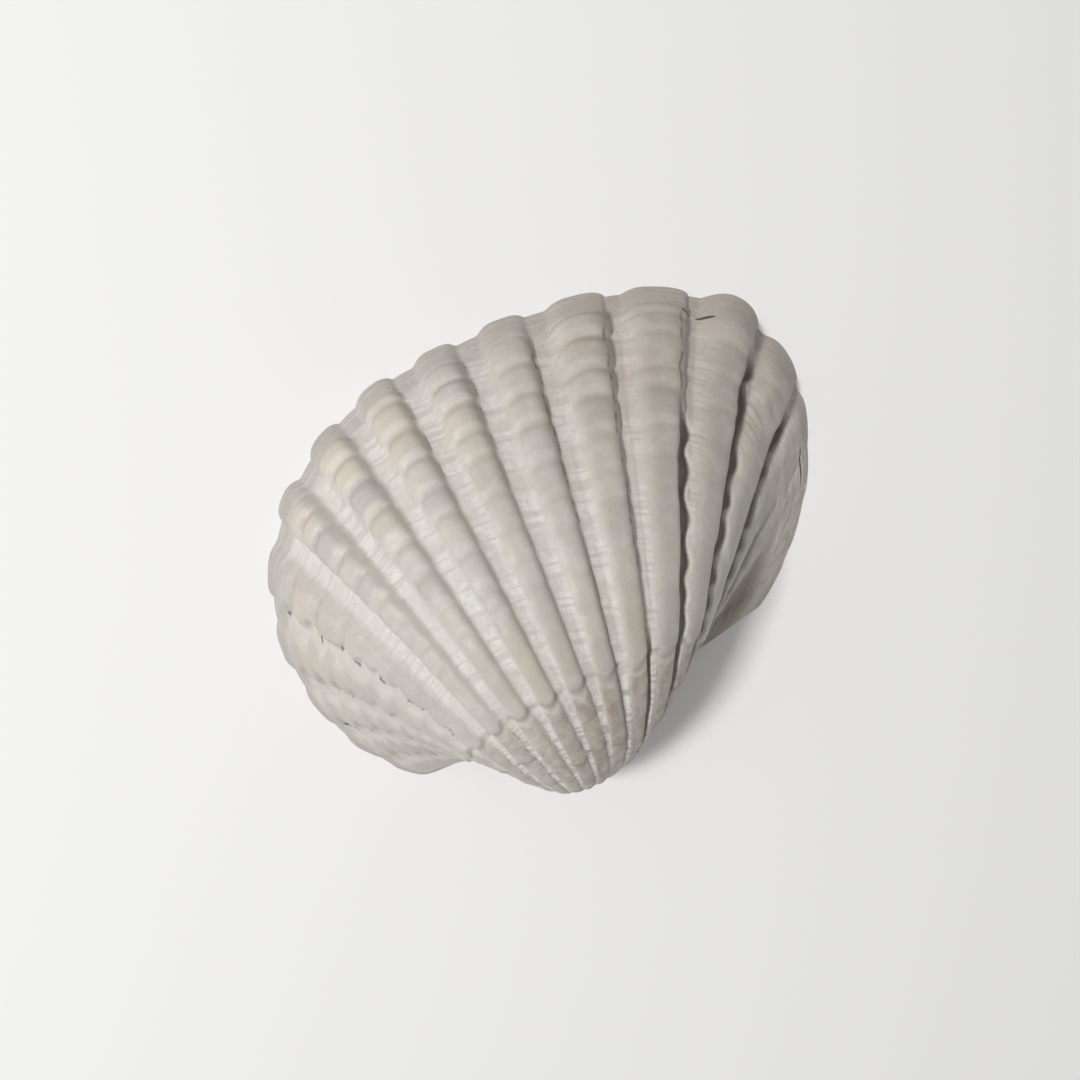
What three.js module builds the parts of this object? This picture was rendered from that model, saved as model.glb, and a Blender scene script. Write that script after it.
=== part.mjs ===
// One valve of a cockle shell, lying hollow side down on its rim.
// Millimetres, +Z up. X runs along the straight hinge, Y from the hinge towards the round
// edge, and the rim lies in the plane Z = 0, so the valve rests on it.
//
// The shell grows as a spiral: its rim shrinks towards the beak and turns about an axis
// along the hinge. Growth g is 1 at the rim and falls to almost 0 at the beak, and every
// ring of the surface is the rim scaled by g and turned by COIL * ln(1 / g). Heights of the
// relief are given at the scale of the rim and shrink with g as well.

import * as THREE from 'three';

const { lerp, smoothstep } = THREE.MathUtils;

// Rim outline, with the hinge line on Y = 0 and the outermost point of the edge below
const HINGE_LEFT = new THREE.Vector2(-21.8, 0);
const HINGE_RIGHT = new THREE.Vector2(14.9, 0);
const EDGE_MIDDLE = new THREE.Vector2(-2.9, 37.3);
const LEFT_PULL = new THREE.Vector2(-13.5, 15.9);
const LEFT_SWEEP = 21.8;
const RIGHT_PULL = new THREE.Vector2(17.5, 11.5);
const RIGHT_SWEEP = 39.7;

// The origin of the part, on the surface it rests on, under the middle of the valve
const UNDER_MIDDLE = new THREE.Vector2(-0.05, 15.7);

// Growth spiral of the outside
const BEAK = new THREE.Vector3(-8.8, -2.0, 2.2);
const COIL = 1.3;
const COIL_AXIS = new THREE.Vector3(1, 0.05, -0.1).normalize();
const BEAK_GROWTH = 0.014;

// Growth spiral of the hollow, which leaves a wall about 2 mm thick
const HOLLOW_BEAK = new THREE.Vector3(-8.0, -1.7, 5.0);
const HOLLOW_COIL = 0.96;
const HOLLOW_AXIS = new THREE.Vector3(1, 0.06, -0.14).normalize();
const HOLLOW_GROWTH = 0.03;
const HOLLOW_MIDDLE_X = -1.5;
const HOLLOW_WIDTH_SHARE = 0.92;
const HOLLOW_DEPTH_SHARE = 0.852;
const HINGE_PLATE = 3.4;

// Ribs: their number along the rim runs from FIRST_RIB, with a slow change of pitch, and
// places across a rib are shares of the pitch from its crest
const FIRST_RIB = -4.48;
const RIB_COUNT = 17.88;
const PITCH_WAVES = { sin1: 0.35, cos1: 0.02, sin2: 0.12, cos2: 0.1 };
const RIB_HEIGHT = 1.05;
const RIB_MEAN = 0.44;
const RIB_SHOULDER = 0.17;
const RIB_FOOT = 0.31;
const CORNER_FADE = 0.05;
const LEFT_FADE = { from: -4.6, to: -0.5, least: 0.25 };
const RIGHT_FADE = { from: 9.4, to: 10.9, least: 0.2 };

// Near the rim the ribs run out into a lower lip, except for one that ends in a knob
const LIP = { from: 0.95, drop: 0.35 };
const KNOB = { rib: 8, halfWidth: 0.4, height: 0.8, from: 0.9, to: 0.97 };

// The right-hand ribs are low, drawn out on the left, and cut off by a deep gap on the right
const GAP_RIBS = { first: 7, last: 9 };
const GAP_RIB_HEIGHT = 0.75;
const GAP_RIB_LEFT = { shoulder: 0.1, foot: 0.47 };
const GAP_RIB_RIGHT = { shoulder: 0.24, foot: 0.3 };
const GAP_START = 0.28;
const GAP_WIDTH = 0.26;
const GAP_WALL = 0.05;
const GAP_DEPTH = 0.6;
const GAP_REACH = { beak: 0.15, rim: 0.92, fade: 0.05 };

// Beads along the ribs
const BEAD_HEIGHT = 0.4;
const BEAD_SPACING = 0.046;
const BEADS = { from: 0.44, to: 0.75 };

// Ledges where growth stopped for a while: the newer shell stands proud of the older one
// and ends in round finger tips on the ribs
const LEDGES = [
  { growth: 0.437, proud: 0.45, reach: 0.22, drop: 0.25 },
  { growth: 0.3, proud: 0, reach: 0.1, drop: 0.34 },
];
const LEDGE_SLOPE = 0.012;
const FINGER_TIP = 0.02;

// Mesh steps
const SMOOTH_ROWS = 7;
const HOLLOW_ROWS = 10;
const HOLLOW_ROW_CROWDING = 1.15;
const HINGE_STEPS = 9;
const CORNER_CLEARANCE = 0.1;
const HALVINGS = 40;
const TANGENT_STEP = 0.001;

const SHELL_COLOUR = 0xc9c2b8;
const SHELL_ROUGHNESS = 0.55;

// The round edge of the rim from the left hinge corner to the right one
function makeRim() {
  const rim = new THREE.CurvePath();
  const leftPull = HINGE_LEFT.clone().add(LEFT_PULL);
  const rightPull = HINGE_RIGHT.clone().add(RIGHT_PULL);
  const leftSweep = EDGE_MIDDLE.clone().add(new THREE.Vector2(-LEFT_SWEEP, 0));
  const rightSweep = EDGE_MIDDLE.clone().add(new THREE.Vector2(RIGHT_SWEEP, 0));
  rim.add(new THREE.CubicBezierCurve(HINGE_LEFT, leftPull, leftSweep, EDGE_MIDDLE));
  rim.add(new THREE.CubicBezierCurve(EDGE_MIDDLE, rightSweep, rightPull, HINGE_RIGHT));
  return rim;
}

const rim = makeRim();

function rimPoint(along) {
  const point = rim.getPoint(along);
  return new THREE.Vector3(point.x, point.y, 0);
}

// Rib number at a share of the rim's length: a whole number is the crest of a rib
function ribNumber(along) {
  const turn = 2 * Math.PI * along;
  const waves = PITCH_WAVES.sin1 * Math.sin(turn) + PITCH_WAVES.cos1 * Math.cos(turn)
    + PITCH_WAVES.sin2 * Math.sin(2 * turn) + PITCH_WAVES.cos2 * Math.cos(2 * turn);
  return FIRST_RIB + RIB_COUNT * along + waves;
}

// Share of the rim's length at a rib number, by halving
function alongAtRib(number) {
  let low = 0;
  let high = 1;
  for (let halving = 0; halving < HALVINGS; halving += 1) {
    const middle = (low + high) / 2;
    const short = ribNumber(middle) < number;
    low = short ? middle : low;
    high = short ? high : middle;
  }
  return (low + high) / 2;
}

function hasGap(rib) {
  return rib >= GAP_RIBS.first && rib <= GAP_RIBS.last;
}

// Places across a rib where its section bends: feet and shoulders, the middle of the groove
// on its left, and the corners of the deep gap on its right where it has one
function bends(rib) {
  const groove = hasGap(rib - 1) ? [] : [-0.5];
  if (!hasGap(rib)) {
    return [...groove, -RIB_FOOT, -RIB_SHOULDER, RIB_SHOULDER, RIB_FOOT];
  }
  const gapEnd = GAP_START + GAP_WIDTH;
  const corners = [GAP_RIB_RIGHT.shoulder, GAP_START + GAP_WALL, gapEnd - GAP_WALL, gapEnd];
  return [...groove, -GAP_RIB_LEFT.shoulder, ...corners];
}

function ribColumns() {
  const first = ribNumber(0);
  const last = ribNumber(1);
  const columns = [0];
  for (let rib = Math.floor(first); rib <= last + 1; rib += 1) {
    for (const offset of bends(rib)) {
      const number = rib + offset;
      if (number > first + CORNER_CLEARANCE && number < last - CORNER_CLEARANCE) {
        columns.push(alongAtRib(number));
      }
    }
  }
  columns.push(1);
  return columns;
}

// Rings of the outside: the crest and the dip of each bead, both sides of each ledge, which
// follow the finger tips, then even ratios to the beak
function growthRows() {
  const rows = [{ growth: 1, fingers: 0 }];
  const halfBead = BEAD_SPACING / 2;
  for (let growth = 1 - halfBead; growth > BEADS.from + BEAD_SPACING; growth -= halfBead) {
    rows.push({ growth, fingers: 0 });
  }
  for (const ledge of LEDGES) {
    rows.push({ growth: ledge.growth + LEDGE_SLOPE / 2, fingers: 1 });
    rows.push({ growth: ledge.growth - LEDGE_SLOPE / 2, fingers: 1 });
    rows.push({ growth: ledge.growth - ledge.reach / 4, fingers: 0 });
  }
  const last = rows[rows.length - 1].growth;
  for (let row = 1; row <= SMOOTH_ROWS; row += 1) {
    rows.push({ growth: last * (BEAK_GROWTH / last) ** (row / SMOOTH_ROWS), fingers: 0 });
  }
  return rows;
}

// How far the edge of a ledge lies towards the rim beside the tip of a finger
function fingerTip(number) {
  const offset = Math.abs(number - Math.round(number));
  return FINGER_TIP * Math.min(1, offset / RIB_FOOT) ** 2;
}

// Section of a rib, from 0 beside it to 1 along its top
function ribSection(number) {
  const rib = Math.round(number);
  const offset = number - rib;
  let side = { shoulder: RIB_SHOULDER, foot: RIB_FOOT };
  if (hasGap(rib)) {
    side = offset < 0 ? GAP_RIB_LEFT : GAP_RIB_RIGHT;
  }
  return 1 - smoothstep(Math.abs(offset), side.shoulder, side.foot);
}

// 1 in the deep gap on the right of a right-hand rib, 0 elsewhere
function deepGap(number, growth) {
  const rib = Math.floor(number - GAP_START);
  if (!hasGap(rib)) {
    return 0;
  }
  const into = number - GAP_START - rib;
  const nearWall = smoothstep(into, 0, GAP_WALL);
  const farWall = 1 - smoothstep(into, GAP_WIDTH - GAP_WALL, GAP_WIDTH);
  const fromBeak = smoothstep(growth, GAP_REACH.beak, GAP_REACH.beak + GAP_REACH.fade);
  const toRim = 1 - smoothstep(growth, GAP_REACH.rim, GAP_REACH.rim + GAP_REACH.fade);
  return nearWall * farWall * fromBeak * toRim;
}

// Share of the full relief: whole on the dome, fading towards both hinge corners
function ribStrength(number) {
  const left = lerp(LEFT_FADE.least, 1, smoothstep(number, LEFT_FADE.from, LEFT_FADE.to));
  const right = lerp(1, RIGHT_FADE.least, smoothstep(number, RIGHT_FADE.from, RIGHT_FADE.to));
  return left * right;
}

// Height of the ribs, beads, gaps and ledges over the smooth shell
function relief(along, growth) {
  const number = ribNumber(along);
  const ends = smoothstep(along, 0, CORNER_FADE) * smoothstep(1 - along, 0, CORNER_FADE);
  const lip = smoothstep(growth, LIP.from, 1);
  const tall = (hasGap(Math.round(number)) ? GAP_RIB_HEIGHT : RIB_HEIGHT) * (1 - LIP.drop * lip);
  const beadWave = Math.cos(2 * Math.PI * (growth - 1) / BEAD_SPACING + Math.PI) / 2;
  const bead = BEAD_HEIGHT * beadWave * smoothstep(growth, BEADS.from, BEADS.to) * (1 - lip);
  const nearKnob = Math.exp(-(((number - KNOB.rib) / KNOB.halfWidth) ** 2));
  const knob = KNOB.height * nearKnob * smoothstep(growth, KNOB.from, KNOB.to);
  const ribs = ribSection(number) * (tall + bead + knob) - RIB_MEAN * RIB_HEIGHT;
  let height = ribs * ribStrength(number) - GAP_DEPTH * deepGap(number, growth);
  for (const ledge of LEDGES) {
    const edge = ledge.growth + fingerTip(number);
    const newer = smoothstep(growth, edge - LEDGE_SLOPE / 2, edge + LEDGE_SLOPE / 2);
    const swell = 1 - smoothstep(growth, ledge.growth, ledge.growth + ledge.reach);
    height += ledge.proud * newer * swell - ledge.drop * (1 - newer);
  }
  return height * ends;
}

// Direction out of the smooth shell at the rim
function outward(along) {
  const before = rimPoint(Math.max(0, along - TANGENT_STEP));
  const tangent = rimPoint(Math.min(1, along + TANGENT_STEP)).sub(before);
  const reach = rimPoint(along).sub(BEAK);
  const growing = reach.clone().addScaledVector(COIL_AXIS.clone().cross(reach), -COIL);
  return tangent.cross(growing).normalize();
}

// A rim point carried along a growth spiral: turned about the axis and shrunk to the beak
function grow(point, growth, beak, axis, coil) {
  const reach = point.clone().sub(beak);
  reach.applyAxisAngle(axis, coil * Math.log(1 / growth));
  return reach.multiplyScalar(growth).add(beak);
}

function outsidePoint(along, growth) {
  const start = rimPoint(along).addScaledVector(outward(along), relief(along, growth));
  return grow(start, growth, BEAK, COIL_AXIS, COIL);
}

// A rib ends at the rim in a low scallop that stays in the plane Z = 0
function outsideRimPoint(along) {
  const sideways = outward(along).setZ(0).normalize();
  return rimPoint(along).addScaledVector(sideways, relief(along, 1));
}

// Points across the hinge, from the right corner back to the left one, ends left out
function hingeStarts(right, left) {
  const starts = [];
  for (let step = 1; step < HINGE_STEPS; step += 1) {
    starts.push(right.clone().lerp(left, step / HINGE_STEPS));
  }
  return starts;
}

// Rings of the outside, from the rim to the beak: the ribbed dome, then the flat area
// between the beak and the hinge line
function outsideRings(columns) {
  const hinge = hingeStarts(rimPoint(1), rimPoint(0));
  return growthRows().map(({ growth, fingers }, row) => {
    const dome = columns.map((along) => {
      const bent = growth + fingers * fingerTip(ribNumber(along));
      return row === 0 ? outsideRimPoint(along) : outsidePoint(along, bent);
    });
    const area = hinge.map((start) => grow(start, growth, BEAK, COIL_AXIS, COIL));
    return [...dome, ...area];
  });
}

// Rings of the hollow, from the rim to its own beak
function hollowRings(columns) {
  const edge = columns.map((along) => {
    const point = rimPoint(along);
    point.x = HOLLOW_MIDDLE_X + (point.x - HOLLOW_MIDDLE_X) * HOLLOW_WIDTH_SHARE;
    point.y = HINGE_PLATE + point.y * HOLLOW_DEPTH_SHARE;
    return point;
  });
  const starts = [...edge, ...hingeStarts(edge[edge.length - 1], edge[0])];
  const rings = [];
  for (let row = 0; row <= HOLLOW_ROWS; row += 1) {
    const share = (row / HOLLOW_ROWS) ** HOLLOW_ROW_CROWDING;
    const growth = lerp(1, HOLLOW_GROWTH, share);
    rings.push(starts.map((start) => grow(start, growth, HOLLOW_BEAK, HOLLOW_AXIS, HOLLOW_COIL)));
  }
  return rings;
}

// One closed skin: the hollow from its beak to the rim, across the flat rim, and the
// outside from the rim to its beak, with a point closing each end
function valveGeometry() {
  const columns = ribColumns();
  const rings = [...hollowRings(columns).reverse(), ...outsideRings(columns)];
  const around = rings[0].length;
  const points = rings.flat();
  const faces = [];
  for (let ring = 0; ring + 1 < rings.length; ring += 1) {
    for (let column = 0; column < around; column += 1) {
      const next = (column + 1) % around;
      const near = ring * around;
      const far = near + around;
      faces.push(near + column, far + next, near + next);
      faces.push(near + column, far + column, far + next);
    }
  }
  const middle = (ring) => ring
    .reduce((sum, point) => sum.add(point), new THREE.Vector3())
    .divideScalar(around);
  const firstTip = points.push(middle(rings[0])) - 1;
  const lastTip = points.push(middle(rings[rings.length - 1])) - 1;
  const lastRing = (rings.length - 1) * around;
  for (let column = 0; column < around; column += 1) {
    const next = (column + 1) % around;
    faces.push(firstTip, column, next);
    faces.push(lastTip, lastRing + next, lastRing + column);
  }
  const geometry = new THREE.BufferGeometry().setFromPoints(points);
  geometry.setIndex(faces);
  geometry.computeVertexNormals();
  return geometry;
}

const valveShape = valveGeometry();
valveShape.translate(-UNDER_MIDDLE.x, -UNDER_MIDDLE.y, 0);

const shellMaterial = new THREE.MeshStandardMaterial({
  color: SHELL_COLOUR,
  roughness: SHELL_ROUGHNESS,
  metalness: 0,
  flatShading: true,
});

const valve = new THREE.Mesh(valveShape, shellMaterial);
valve.name = 'valve';

const shell = new THREE.Group();
shell.add(valve);

export default shell;
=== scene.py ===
import math

import bpy
import numpy as np
from mathutils import Matrix, Vector


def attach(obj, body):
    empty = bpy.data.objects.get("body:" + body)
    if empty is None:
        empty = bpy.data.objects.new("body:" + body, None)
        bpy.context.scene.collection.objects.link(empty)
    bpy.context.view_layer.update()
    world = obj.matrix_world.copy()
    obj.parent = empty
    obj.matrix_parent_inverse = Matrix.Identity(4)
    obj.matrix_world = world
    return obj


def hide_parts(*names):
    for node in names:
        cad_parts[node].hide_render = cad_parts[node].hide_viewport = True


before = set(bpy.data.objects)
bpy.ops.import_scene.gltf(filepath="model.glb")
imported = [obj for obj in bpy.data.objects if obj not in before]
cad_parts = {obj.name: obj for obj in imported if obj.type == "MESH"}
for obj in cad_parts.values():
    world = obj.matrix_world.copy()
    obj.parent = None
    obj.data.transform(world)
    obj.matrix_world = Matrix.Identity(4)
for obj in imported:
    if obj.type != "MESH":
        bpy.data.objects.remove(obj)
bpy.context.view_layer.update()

# Lengths are in millimetres until a mesh is made; growth is 1 at the rim, near 0 at the beak
MM = 0.001
UNDER_MIDDLE = np.array([-0.05, 15.7, 0.0])

# Rim outline, with the hinge line on Y = 0
HINGE_LEFT = np.array([-21.8, 0.0])
HINGE_RIGHT = np.array([14.9, 0.0])
EDGE_MIDDLE = np.array([-2.9, 37.3])
LEFT_PULL = np.array([-13.5, 15.9])
LEFT_SWEEP = np.array([-21.8, 0.0])
RIGHT_PULL = np.array([17.5, 11.5])
RIGHT_SWEEP = np.array([39.7, 0.0])

# Growth spirals of the outside and of the hollow
BEAK = np.array([-8.8, -2.0, 2.2])
COIL = 1.3
COIL_AXIS = np.array([1.0, 0.05, -0.10])
BEAK_GROWTH = 0.014
HOLLOW_BEAK = np.array([-8.0, -1.7, 5.0])
HOLLOW_COIL = 0.96
HOLLOW_AXIS = np.array([1.0, 0.06, -0.14])
HOLLOW_GROWTH = 0.03
HOLLOW_MIDDLE_X = -1.5
HOLLOW_WIDTH_SHARE = 0.92
HOLLOW_DEPTH_SHARE = 0.852
HINGE_PLATE = 3.4
CORNER_ROUND = 0.5
CORNER_REACH = 1.4
MARGIN_GROOVE = 0.35
TOOTH_HEIGHT = 0.55
GROWTH_LENGTH = 64.0

# Ribs
FIRST_RIB = -4.48
RIB_COUNT = 17.88
PITCH_SIN_1, PITCH_COS_1 = 0.35, 0.02
PITCH_SIN_2, PITCH_COS_2 = 0.12, 0.10
RIB_HEIGHT = 1.05
RIGHT_RIB_HEIGHT = 0.75
RIB_MEAN = 0.44
RIB_FOOT = 0.29
RIB_ROUND = 3.0
RIB_FLANK = 0.8
RIB_FADE = 0.05
MIDDLE_DROP = 0.28
BEAK_DROP = 0.5
GAP_DEPTH = 1.0
GAP_START = 0.28
GAP_WIDTH = 0.28
GAP_SCALLOP = 0.105
SCALLOP_DEPTH = 0.13
KNOB_RIB = 8
KNOB_HEIGHT = 0.8
BEAD_HEIGHT = 0.55
BEAD_SPACING = 0.056
SCALE_SPACING = 0.06
SCALE_REACH = 0.22
LIP_GROWTH = 0.962
LIP_FADE = 0.012
SIDEWAYS_GROWTH = 0.93
EAR_RIB = 12.1
EAR_HOLLOW = 0.5

# Growth stops: the main ledge, then (growth, drop, seed) by the beak and (growth, drop) near the rim
LEDGE_GROWTH = 0.437
LEDGE_RISE = 0.38
LEDGE_DROP = 0.22
MAIN_TIP = 0.009
MAIN_WIDTH = 0.012
BEAK_STOPS = ((0.325, 0.4, 12), (0.25, 0.36, 13), (0.185, 0.32, 14))
BEAK_STOP_WANDER = 0.03
BEAK_TIP = 0.005
BEAK_WIDTH = 0.01
FAINT_STOPS = ((0.6, 0.09), (0.735, 0.1), (0.865, 0.12))
FAINT_TIP = 0.012
FAINT_WIDTH = 0.012

# Mesh steps
DOME_COLUMNS = 384
HINGE_COLUMNS = 72
OUTSIDE_ROWS = 180
RIM_ROWS = 6
HOLLOW_ROWS = 30
CREASE = math.radians(65)

# Size of the tables of seeded numbers
LATTICE = 64

# Values kept on the mesh for the finish
MARKS = ("growth", "between", "gap", "tile", "cream", "joint", "stop")

# Painted marks on the growth map: (rib, run) of the middle, reach in ribs, slope and width along the run
# The crack and the lip slits are drawn as painted shade of their openings; the crack's edge is pale
CRACK = ((10.55, 61.4), 0.42, 0.4, 0.24)
CRACK_EDGE = ((10.62, 61.85), 0.4, 0.4, 0.3)
LIP_SLITS = (((7.36, 61.65), 0.07, 0.0, 0.16), ((7.62, 61.5), 0.12, 0.02, 0.18))
MUSCLE_SCARS = (((-2.4, 40.0), 1.3, 2.0, 8.0), ((10.2, 40.0), 1.6, -2.0, 9.0))

# Depths of the fine roughness, in metres
WEAR_DEPTH = 0.00006
GRAIN_DEPTH = 0.00003

# View
AIM = np.array([-0.7, 18.8, 8.5])
VIEW_ELEVATION = math.radians(73.1)
VIEW_AZIMUTH = math.radians(83.6)
VIEW_ROLL = math.radians(158.9)
VIEW_DISTANCE = 275.0
LENS = 99.2
SENSOR = 36.0

# Studio, in metres and watts
FLOOR_REACH = 1.5
SKY_COLOUR = (1.0, 0.99, 0.97, 1)
SKY_STRENGTH = 0.35
KEY_DIRECTION = (-0.48, 0.30, 0.825)
KEY_DISTANCE = 0.5
KEY_SIZE = 0.1
KEY_POWER = 1.62


def smooth(low, high, value):
    """Smooth step: 0 below low, 1 above high, 3t^2 - 2t^3 between them."""
    t = np.clip((value - low) / (high - low), 0, 1)
    return t * t * (3 - 2 * t)


def drift(x, y, seed):
    """Smooth random field from -1 to 1: seeded numbers on a lattice, blended between corners."""
    table = np.random.default_rng(seed).uniform(-1, 1, (LATTICE, LATTICE))
    i, j = np.floor(x).astype(int), np.floor(y).astype(int)
    s, t = smooth(0, 1, x - i), smooth(0, 1, y - j)
    left, right, low, high = i % LATTICE, (i + 1) % LATTICE, j % LATTICE, (j + 1) % LATTICE
    near = table[left, low] * (1 - s) + table[right, low] * s
    far = table[left, high] * (1 - s) + table[right, high] * s
    return near * (1 - t) + far * t


def each_rib(number, seed):
    """One seeded number from -1 to 1 for each rib."""
    return np.random.default_rng(seed).uniform(-1, 1, LATTICE)[number.astype(int) % LATTICE]


def bezier(a, b, c, d, steps=2001):
    """Cubic curve with end points a and d and handles b and c."""
    t = np.linspace(0, 1, steps)[:, None]
    return (1 - t) ** 3 * a + 3 * (1 - t) ** 2 * t * b + 3 * (1 - t) * t ** 2 * c + t ** 3 * d


def rim_points(along):
    """Points of the round edge at shares of its length, from the left hinge corner to the right."""
    left = bezier(HINGE_LEFT, HINGE_LEFT + LEFT_PULL, EDGE_MIDDLE + LEFT_SWEEP, EDGE_MIDDLE)
    right = bezier(EDGE_MIDDLE, EDGE_MIDDLE + RIGHT_SWEEP, HINGE_RIGHT + RIGHT_PULL, HINGE_RIGHT)
    line = np.concatenate([left, right[1:]])
    length = np.concatenate([[0], np.cumsum(np.hypot(*np.diff(line, axis=0).T))])
    length /= length[-1]
    x, y = np.interp(along, length, line[:, 0]), np.interp(along, length, line[:, 1])
    return np.stack([x, y, np.zeros_like(x)], -1)


def hinge_points(edge):
    """Points on the straight line that closes an edge, from its right end back to its left one."""
    share = np.arange(1, HINGE_COLUMNS + 1) / (HINGE_COLUMNS + 1)
    return edge[-1] + (edge[0] - edge[-1]) * share[:, None]


def rib_number(along):
    """Rib number at a share of the rim: a straight count plus two slow waves of pitch."""
    turn = 2 * np.pi * along
    waves = PITCH_SIN_1 * np.sin(turn) + PITCH_COS_1 * np.cos(turn)
    waves = waves + PITCH_SIN_2 * np.sin(2 * turn) + PITCH_COS_2 * np.cos(2 * turn)
    return FIRST_RIB + RIB_COUNT * along + waves


def dome_columns():
    """Shares of the rim, crowded on the flanks of the ribs and most at the deep gaps on the right."""
    along = np.linspace(0, 1, 20001)
    rib = rib_number(along)
    deep = smooth(5.2, 6.2, rib) * (1 - smooth(10.6, 11.2, rib))
    into_gap = (rib - GAP_START) % 1
    gap = np.exp(-((into_gap - GAP_WIDTH / 2) / 0.2) ** 2)
    ribbed = smooth(-4.4, -2.5, rib) * (1 - smooth(10.5, 12.5, rib))
    density = (1 - 0.6 * (1 - deep) * np.cos(4 * np.pi * rib) + 1.6 * deep * gap) * (0.45 + 0.55 * ribbed)
    crowd = np.concatenate([[0], np.cumsum(density[1:] * np.diff(rib))])
    return np.interp(np.linspace(0, crowd[-1], DOME_COLUMNS), crowd, along)


def growth_rows():
    """Growth values from rim to beak, crowded at the main ledge and at the lip."""
    growth = np.linspace(BEAK_GROWTH, 1, 5001)
    density = 1 + 1.2 * np.exp(-((growth - LEDGE_GROWTH) / 0.03) ** 2) + 1.2 * smooth(0.9, 1, growth)
    total = np.concatenate([[0], np.cumsum((density[1:] + density[:-1]) / 2)])
    return np.interp(np.linspace(total[-1], 0, OUTSIDE_ROWS), total, growth)


def turned(vectors, angle, axis):
    """Vectors turned about an axis: v cos + (axis x v) sin + axis (axis . v)(1 - cos)."""
    axis = axis / np.linalg.norm(axis)
    cos, sin = np.cos(angle)[..., None], np.sin(angle)[..., None]
    return vectors * cos + np.cross(axis, vectors) * sin + axis * (vectors @ axis)[..., None] * (1 - cos)


def grown(points, growth, beak, coil, axis):
    """Growth spiral: reach from the beak, turned by coil ln(1 / growth) and shrunk by growth."""
    return beak + growth[..., None] * turned(points - beak, coil * np.log(1 / growth), axis)


def outward(along):
    """Direction out of the smooth shell at the rim: rim tangent x growing direction."""
    step = 0.0005
    tangent = rim_points(np.clip(along + step, 0, 1)) - rim_points(np.clip(along - step, 0, 1))
    reach = rim_points(along) - BEAK
    growing = reach - COIL * np.cross(COIL_AXIS / np.linalg.norm(COIL_AXIS), reach)
    normal = np.cross(tangent, growing)
    return normal / np.linalg.norm(normal, axis=-1, keepdims=True)


def rib_strength(rib, growth):
    """Share of the full rib height: whole on the dome, fading towards both hinge corners."""
    left = 0.3 + 0.7 * smooth(-3.6, 0.6, rib)
    past = smooth(9.2, 10.3, rib)
    faint = 0.14 + 0.45 * (1 - smooth(0.6, 0.85, growth)) * (1 - smooth(12.4, 13.2, rib))
    return left * (1 - past * (1 - faint))


def young(growth):
    """1 on the oldest part by the beak, where the ribs are broad and low, 0 past the main ledge."""
    return 1 - smooth(0.32, 0.5, growth)


def tile_count(rib, growth):
    """Count of bead tiles from the rim towards the beak, closer near the rim and arched across a rib."""
    number = np.round(rib)
    spacing = BEAD_SPACING * (1 + 0.12 * each_rib(number, 3) + 0.45 * (1 - smooth(-0.5, 1.0, number)))
    arch = 0.07 * ((rib - number) / 0.25) ** 2
    wander = 0.35 * each_rib(number, 4) + 0.2 * drift(number * 5.3, growth * 24, 5)
    closer = 0.05 * (1 - np.exp((growth - 1) / 0.08))
    return (1 - growth + closer) / spacing + wander - arch


def tile_tone(rib, growth, seed):
    """One seeded number from -1 to 1 for each bead tile, blended over the last part of the tile."""
    count = tile_count(rib, growth)
    tile = np.floor(count).astype(int)
    table = np.random.default_rng(seed).uniform(-1, 1, (LATTICE, LATTICE))
    row = np.round(rib).astype(int) % LATTICE
    here, following = table[row, tile % LATTICE], table[row, (tile + 1) % LATTICE]
    return here + (following - here) * smooth(0.75, 1, count - tile)


def tile_strength(rib, count, growth):
    """How bold each bead tile is: uneven, bold on the middle ribs, none by the beak and on the lip."""
    strength = 1 + 0.4 * drift(np.round(rib) * 7.7, np.floor(count) * 1.9, 6)
    strength = strength * (0.3 + 0.7 * smooth(-1.4, 1.2, rib) * (1 - smooth(6.2, 7.8, rib)))
    strength = strength * (1 - 0.8 * smooth(8.4, 9.4, rib))
    low = 0.4 + 0.3 * (1 - smooth(2.5, 4.0, rib))
    reach = low * smooth(0.45, 0.6, growth) + (1 - low) * smooth(0.68, 0.86, growth)
    reach = reach * (1 - smooth(LIP_GROWTH - LIP_FADE, LIP_GROWTH + LIP_FADE, growth))
    return strength * reach


def bead_height(rib, growth):
    """Beads along the ribs, 0 to 1: a slow rise from the rim side, a flat top, a steep end."""
    count = tile_count(rib, growth)
    share = count - np.floor(count)
    bead = smooth(0, 0.4, share) * (1 - smooth(0.82, 1, share))
    return bead * tile_strength(rib, count, growth)


def tile_joint(rib, growth):
    """Painted shade and highlight along a bead tile: 1 for painted shade on its rim side, down to -1 for a
    painted highlight on its far end.
    """
    count = tile_count(rib, growth)
    share = count - np.floor(count)
    dark = smooth(0, 0.1, share) * (1 - smooth(0.1, 0.42, share))
    light = smooth(0.66, 0.88, share) * (1 - smooth(0.94, 1, share))
    return (dark - light) * tile_strength(rib, count, growth)


def lean(number):
    """Which flank of a rib is the steep one: -1 the left one, 1 the right one, 0 both alike."""
    return -0.9 + 1.35 * smooth(-0.5, 2.5, number) + 0.55 * smooth(4.5, 7.5, number)


def rib_section(rib, growth, bead):
    """Cross-section of a rib, 0 to 1: a rounded hump, steep on one flank and drawn out on the other."""
    number = np.round(rib)
    offset = rib - number
    side = lean(number)
    gentle = offset * side < 0
    right = smooth(4.5, 7.0, number)
    foot = RIB_FOOT + 0.03 * bead + 0.08 * young(growth)
    foot = foot + np.where(gentle, 0.17 * np.abs(side), 0.1 * right)
    flank = RIB_FLANK + np.where(gentle, 0.35 * np.abs(side), -0.3 * right)
    return np.clip(1 - (np.abs(offset) / np.minimum(foot, 0.49)) ** RIB_ROUND, 0, 1) ** flank


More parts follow.
